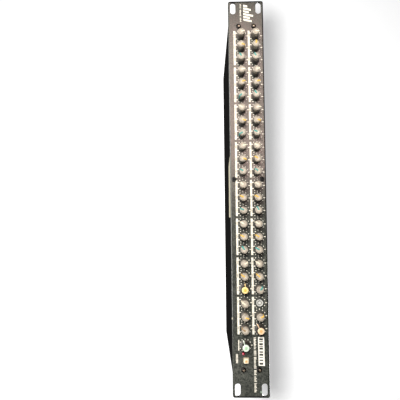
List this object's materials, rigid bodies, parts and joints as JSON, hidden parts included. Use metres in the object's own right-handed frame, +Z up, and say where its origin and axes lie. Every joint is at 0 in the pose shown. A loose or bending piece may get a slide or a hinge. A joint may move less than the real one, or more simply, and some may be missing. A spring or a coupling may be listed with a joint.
{
  "type": "rack line mixer",
  "caption": "Slim rack-mount line mixer: slotted front panel with rows of rotary controls, a power button and lamp, on a shallow steel case with rear jack sockets.",
  "frame": {"origin": "centre of the front panel's rear face, where it meets the rack rails", "axes": "+X along the panel from its left end to its right end as read, +Y from the front panel into the case, +Z up"},
  "size_m": [0.4826, 0.2062, 0.0436],
  "materials": {
    "knob_send": "moulded warm grey plastic with an ivory pointer",
    "knob_pan": "moulded warm grey plastic with a yellow pointer",
    "knob_level": "moulded warm grey plastic with a turquoise pointer",
    "odd_knob_orange": "black body with an orange cap and pointer",
    "odd_knob_yellow": "black body with a yellow cap and pointer",
    "odd_knob_green": "black body with a pale green cap and pointer",
    "shaft_stub": "pale grey nylon",
    "button_plastic": "cream push button",
    "panel_paint": "satin black paint with ivory print",
    "case_paint": "semi-gloss black paint",
    "board_laminate": "green solder resist",
    "pot_metal": "plated steel",
    "switch_plastic": "black moulding",
    "lamp_lens": "red tinted epoxy",
    "jack_plastic": "black moulding with a plated nut",
    "supply_steel": "black inlet moulding",
    "screw_steel": "blackened steel"
  },
  "bodies": {
    "case": {"front_panel": "panel_paint", "chassis_tray": "case_paint", "top_cover": "case_paint", "circuit_boards": "board_laminate", "potentiometers": "pot_metal", "power_switch": "switch_plastic", "power_lamp": "lamp_lens", "rear_jacks": "jack_plastic", "power_supply": "supply_steel", "case_screws": "screw_steel"},
    "ch01_send_knob": {"ch01_send_knob": "knob_send"},
    "ch01_pan_knob": {"ch01_pan_knob": "knob_pan"},
    "ch01_level_knob": {"ch01_level_knob": "knob_level"},
    "ch02_send_knob": {"ch02_send_knob": "knob_send"},
    "ch02_pan_knob": {"ch02_pan_knob": "knob_pan"},
    "ch02_level_knob": {"ch02_level_knob": "knob_level"},
    "ch03_send_knob": {"ch03_send_knob": "knob_send"},
    "ch03_pan_knob": {"ch03_pan_knob": "knob_pan"},
    "ch03_level_knob": {"ch03_level_knob": "knob_level"},
    "ch04_send_knob": {"ch04_send_knob": "knob_send"},
    "ch04_pan_knob": {"ch04_pan_knob": "knob_pan"},
    "ch04_level_knob": {"ch04_level_knob": "knob_level"},
    "ch05_send_knob": {"ch05_send_knob": "knob_send"},
    "ch05_pan_knob": {"ch05_pan_knob": "knob_pan"},
    "ch05_level_knob": {"ch05_level_knob": "knob_level"},
    "ch06_send_knob": {"ch06_send_knob": "knob_send"},
    "ch06_pan_knob": {"ch06_pan_knob": "knob_pan"},
    "ch06_level_knob": {"ch06_level_knob": "knob_level"},
    "ch07_send_knob": {"ch07_send_knob": "knob_send"},
    "ch07_pan_knob": {"ch07_pan_knob": "knob_pan"},
    "ch07_level_knob": {"ch07_level_knob": "knob_level"},
    "ch08_send_shaft": {"ch08_send_shaft": "shaft_stub"},
    "ch08_pan_knob": {"ch08_pan_knob": "knob_pan"},
    "ch08_level_knob": {"ch08_level_knob": "odd_knob_orange"},
    "ch09_send_knob": {"ch09_send_knob": "knob_send"},
    "ch09_pan_knob": {"ch09_pan_knob": "knob_pan"},
    "ch09_level_knob": {"ch09_level_knob": "knob_level"},
    "ch10_send_knob": {"ch10_send_knob": "knob_send"},
    "ch10_pan_knob": {"ch10_pan_knob": "knob_pan"},
    "ch10_level_knob": {"ch10_level_knob": "knob_level"},
    "ch11_send_knob": {"ch11_send_knob": "knob_send"},
    "ch11_pan_knob": {"ch11_pan_knob": "knob_pan"},
    "ch11_level_knob": {"ch11_level_knob": "knob_level"},
    "ch12_send_knob": {"ch12_send_knob": "knob_send"},
    "ch12_pan_knob": {"ch12_pan_knob": "knob_pan"},
    "ch12_level_knob": {"ch12_level_knob": "knob_level"},
    "ch13_send_knob": {"ch13_send_knob": "knob_send"},
    "ch13_pan_knob": {"ch13_pan_knob": "knob_pan"},
    "ch13_level_knob": {"ch13_level_knob": "knob_level"},
    "ch14_send_knob": {"ch14_send_knob": "knob_send"},
    "ch14_pan_knob": {"ch14_pan_knob": "knob_pan"},
    "ch14_level_knob": {"ch14_level_knob": "knob_level"},
    "ch15_send_knob": {"ch15_send_knob": "knob_send"},
    "ch15_pan_knob": {"ch15_pan_knob": "knob_pan"},
    "ch15_level_knob": {"ch15_level_knob": "odd_knob_yellow"},
    "ch16_send_knob": {"ch16_send_knob": "knob_send"},
    "ch16_pan_knob": {"ch16_pan_knob": "knob_pan"},
    "ch16_level_knob": {"ch16_level_knob": "knob_level"},
    "master_level_knob": {"master_level_knob": "odd_knob_green"},
    "power_button": {"power_button": "button_plastic"}
  },
  "joints": [
    {"name": "ch01_send_turn", "type": "hinge", "parent": "case", "child": "ch01_send_knob", "pos_m": [-0.1966, -0.003, 0.01105], "axis": [0, 1, 0], "range_deg": [-150, 150]},
    {"name": "ch01_pan_turn", "type": "hinge", "parent": "case", "child": "ch01_pan_knob", "pos_m": [-0.18136, -0.003, 0.01105], "axis": [0, 1, 0], "range_deg": [-70, 230]},
    {"name": "ch01_level_turn", "type": "hinge", "parent": "case", "child": "ch01_level_knob", "pos_m": [-0.16612, -0.003, 0.01105], "axis": [0, 1, 0], "range_deg": [-25, 275]},
    {"name": "ch02_send_turn", "type": "hinge", "parent": "case", "child": "ch02_send_knob", "pos_m": [-0.1498, -0.003, 0.01105], "axis": [0, 1, 0], "range_deg": [-140, 160]},
    {"name": "ch02_pan_turn", "type": "hinge", "parent": "case", "child": "ch02_pan_knob", "pos_m": [-0.13456, -0.003, 0.01105], "axis": [0, 1, 0], "range_deg": [-140, 160]},
    {"name": "ch02_level_turn", "type": "hinge", "parent": "case", "child": "ch02_level_knob", "pos_m": [-0.11932, -0.003, 0.01105], "axis": [0, 1, 0], "range_deg": [-25, 275]},
    {"name": "ch03_send_turn", "type": "hinge", "parent": "case", "child": "ch03_send_knob", "pos_m": [-0.103, -0.003, 0.01105], "axis": [0, 1, 0], "range_deg": [-150, 150]},
    {"name": "ch03_pan_turn", "type": "hinge", "parent": "case", "child": "ch03_pan_knob", "pos_m": [-0.08776, -0.003, 0.01105], "axis": [0, 1, 0], "range_deg": [-170, 130]},
    {"name": "ch03_level_turn", "type": "hinge", "parent": "case", "child": "ch03_level_knob", "pos_m": [-0.07252, -0.003, 0.01105], "axis": [0, 1, 0], "range_deg": [0, 300]},
    {"name": "ch04_send_turn", "type": "hinge", "parent": "case", "child": "ch04_send_knob", "pos_m": [-0.0562, -0.003, 0.01105], "axis": [0, 1, 0], "range_deg": [0, 300]},
    {"name": "ch04_pan_turn", "type": "hinge", "parent": "case", "child": "ch04_pan_knob", "pos_m": [-0.04096, -0.003, 0.01105], "axis": [0, 1, 0], "range_deg": [0, 300]},
    {"name": "ch04_level_turn", "type": "hinge", "parent": "case", "child": "ch04_level_knob", "pos_m": [-0.02572, -0.003, 0.01105], "axis": [0, 1, 0], "range_deg": [-5, 295]},
    {"name": "ch05_send_turn", "type": "hinge", "parent": "case", "child": "ch05_send_knob", "pos_m": [-0.0094, -0.003, 0.01105], "axis": [0, 1, 0], "range_deg": [-5, 295]},
    {"name": "ch05_pan_turn", "type": "hinge", "parent": "case", "child": "ch05_pan_knob", "pos_m": [0.00584, -0.003, 0.01105], "axis": [0, 1, 0], "range_deg": [0, 300]},
    {"name": "ch05_level_turn", "type": "hinge", "parent": "case", "child": "ch05_level_knob", "pos_m": [0.02108, -0.003, 0.01105], "axis": [0, 1, 0], "range_deg": [-35, 265]},
    {"name": "ch06_send_turn", "type": "hinge", "parent": "case", "child": "ch06_send_knob", "pos_m": [0.0374, -0.003, 0.01105], "axis": [0, 1, 0], "range_deg": [0, 300]},
    {"name": "ch06_pan_turn", "type": "hinge", "parent": "case", "child": "ch06_pan_knob", "pos_m": [0.05264, -0.003, 0.01105], "axis": [0, 1, 0], "range_deg": [0, 300]},
    {"name": "ch06_level_turn", "type": "hinge", "parent": "case", "child": "ch06_level_knob", "pos_m": [0.06788, -0.003, 0.01105], "axis": [0, 1, 0], "range_deg": [0, 300]},
    {"name": "ch07_send_turn", "type": "hinge", "parent": "case", "child": "ch07_send_knob", "pos_m": [0.0842, -0.003, 0.01105], "axis": [0, 1, 0], "range_deg": [0, 300]},
    {"name": "ch07_pan_turn", "type": "hinge", "parent": "case", "child": "ch07_pan_knob", "pos_m": [0.09944, -0.003, 0.01105], "axis": [0, 1, 0], "range_deg": [-10, 290]},
    {"name": "ch07_level_turn", "type": "hinge", "parent": "case", "child": "ch07_level_knob", "pos_m": [0.11468, -0.003, 0.01105], "axis": [0, 1, 0], "range_deg": [-100, 200]},
    {"name": "ch08_send_turn", "type": "hinge", "parent": "case", "child": "ch08_send_shaft", "pos_m": [0.131, -0.003, 0.01105], "axis": [0, 1, 0], "range_deg": [-190, 110]},
    {"name": "ch08_pan_turn", "type": "hinge", "parent": "case", "child": "ch08_pan_knob", "pos_m": [0.14624, -0.003, 0.01105], "axis": [0, 1, 0], "range_deg": [-120, 180]},
    {"name": "ch08_level_turn", "type": "hinge", "parent": "case", "child": "ch08_level_knob", "pos_m": [0.16148, -0.003, 0.01105], "axis": [0, 1, 0], "range_deg": [-30, 270]},
    {"name": "ch09_send_turn", "type": "hinge", "parent": "case", "child": "ch09_send_knob", "pos_m": [-0.1966, -0.003, -0.00665], "axis": [0, 1, 0], "range_deg": [-140, 160]},
    {"name": "ch09_pan_turn", "type": "hinge", "parent": "case", "child": "ch09_pan_knob", "pos_m": [-0.18136, -0.003, -0.00665], "axis": [0, 1, 0], "range_deg": [-170, 130]},
    {"name": "ch09_level_turn", "type": "hinge", "parent": "case", "child": "ch09_level_knob", "pos_m": [-0.16612, -0.003, -0.00665], "axis": [0, 1, 0], "range_deg": [-25, 275]},
    {"name": "ch10_send_turn", "type": "hinge", "parent": "case", "child": "ch10_send_knob", "pos_m": [-0.1498, -0.003, -0.00665], "axis": [0, 1, 0], "range_deg": [-145, 155]},
    {"name": "ch10_pan_turn", "type": "hinge", "parent": "case", "child": "ch10_pan_knob", "pos_m": [-0.13456, -0.003, -0.00665], "axis": [0, 1, 0], "range_deg": [-135, 165]},
    {"name": "ch10_level_turn", "type": "hinge", "parent": "case", "child": "ch10_level_knob", "pos_m": [-0.11932, -0.003, -0.00665], "axis": [0, 1, 0], "range_deg": [-290, 10]},
    {"name": "ch11_send_turn", "type": "hinge", "parent": "case", "child": "ch11_send_knob", "pos_m": [-0.103, -0.003, -0.00665], "axis": [0, 1, 0], "range_deg": [0, 300]},
    {"name": "ch11_pan_turn", "type": "hinge", "parent": "case", "child": "ch11_pan_knob", "pos_m": [-0.08776, -0.003, -0.00665], "axis": [0, 1, 0], "range_deg": [-165, 135]},
    {"name": "ch11_level_turn", "type": "hinge", "parent": "case", "child": "ch11_level_knob", "pos_m": [-0.07252, -0.003, -0.00665], "axis": [0, 1, 0], "range_deg": [-300, 0]},
    {"name": "ch12_send_turn", "type": "hinge", "parent": "case", "child": "ch12_send_knob", "pos_m": [-0.0562, -0.003, -0.00665], "axis": [0, 1, 0], "range_deg": [-135, 165]},
    {"name": "ch12_pan_turn", "type": "hinge", "parent": "case", "child": "ch12_pan_knob", "pos_m": [-0.04096, -0.003, -0.00665], "axis": [0, 1, 0], "range_deg": [-170, 130]},
    {"name": "ch12_level_turn", "type": "hinge", "parent": "case", "child": "ch12_level_knob", "pos_m": [-0.02572, -0.003, -0.00665], "axis": [0, 1, 0], "range_deg": [0, 300]},
    {"name": "ch13_send_turn", "type": "hinge", "parent": "case", "child": "ch13_send_knob", "pos_m": [-0.0094, -0.003, -0.00665], "axis": [0, 1, 0], "range_deg": [-10, 290]},
    {"name": "ch13_pan_turn", "type": "hinge", "parent": "case", "child": "ch13_pan_knob", "pos_m": [0.00584, -0.003, -0.00665], "axis": [0, 1, 0], "range_deg": [0, 300]},
    {"name": "ch13_level_turn", "type": "hinge", "parent": "case", "child": "ch13_level_knob", "pos_m": [0.02108, -0.003, -0.00665], "axis": [0, 1, 0], "range_deg": [0, 300]},
    {"name": "ch14_send_turn", "type": "hinge", "parent": "case", "child": "ch14_send_knob", "pos_m": [0.0374, -0.003, -0.00665], "axis": [0, 1, 0], "range_deg": [-5, 295]},
    {"name": "ch14_pan_turn", "type": "hinge", "parent": "case", "child": "ch14_pan_knob", "pos_m": [0.05264, -0.003, -0.00665], "axis": [0, 1, 0], "range_deg": [0, 300]},
    {"name": "ch14_level_turn", "type": "hinge", "parent": "case", "child": "ch14_level_knob", "pos_m": [0.06788, -0.003, -0.00665], "axis": [0, 1, 0], "range_deg": [-30, 270]},
    {"name": "ch15_send_turn", "type": "hinge", "parent": "case", "child": "ch15_send_knob", "pos_m": [0.0842, -0.003, -0.00665], "axis": [0, 1, 0], "range_deg": [-125, 175]},
    {"name": "ch15_pan_turn", "type": "hinge", "parent": "case", "child": "ch15_pan_knob", "pos_m": [0.09944, -0.003, -0.00665], "axis": [0, 1, 0], "range_deg": [-5, 295]},
    {"name": "ch15_level_turn", "type": "hinge", "parent": "case", "child": "ch15_level_knob", "pos_m": [0.11468, -0.003, -0.00665], "axis": [0, 1, 0], "range_deg": [-70, 230]},
    {"name": "ch16_send_turn", "type": "hinge", "parent": "case", "child": "ch16_send_knob", "pos_m": [0.131, -0.003, -0.00665], "axis": [0, 1, 0], "range_deg": [-5, 295]},
    {"name": "ch16_pan_turn", "type": "hinge", "parent": "case", "child": "ch16_pan_knob", "pos_m": [0.14624, -0.003, -0.00665], "axis": [0, 1, 0], "range_deg": [-165, 135]},
    {"name": "ch16_level_turn", "type": "hinge", "parent": "case", "child": "ch16_level_knob", "pos_m": [0.16148, -0.003, -0.00665], "axis": [0, 1, 0], "range_deg": [0, 300]},
    {"name": "master_level_turn", "type": "hinge", "parent": "case", "child": "master_level_knob", "pos_m": [0.1807, -0.003, -0.00665], "axis": [0, 1, 0], "range_deg": [-40, 260]},
    {"name": "power_button_press", "type": "slide", "parent": "case", "child": "power_button", "axis": [0, 1, 0], "range_m": [0, 0.003], "stiffness_N_per_m": 100, "springref_m": -0.004}
  ]
}
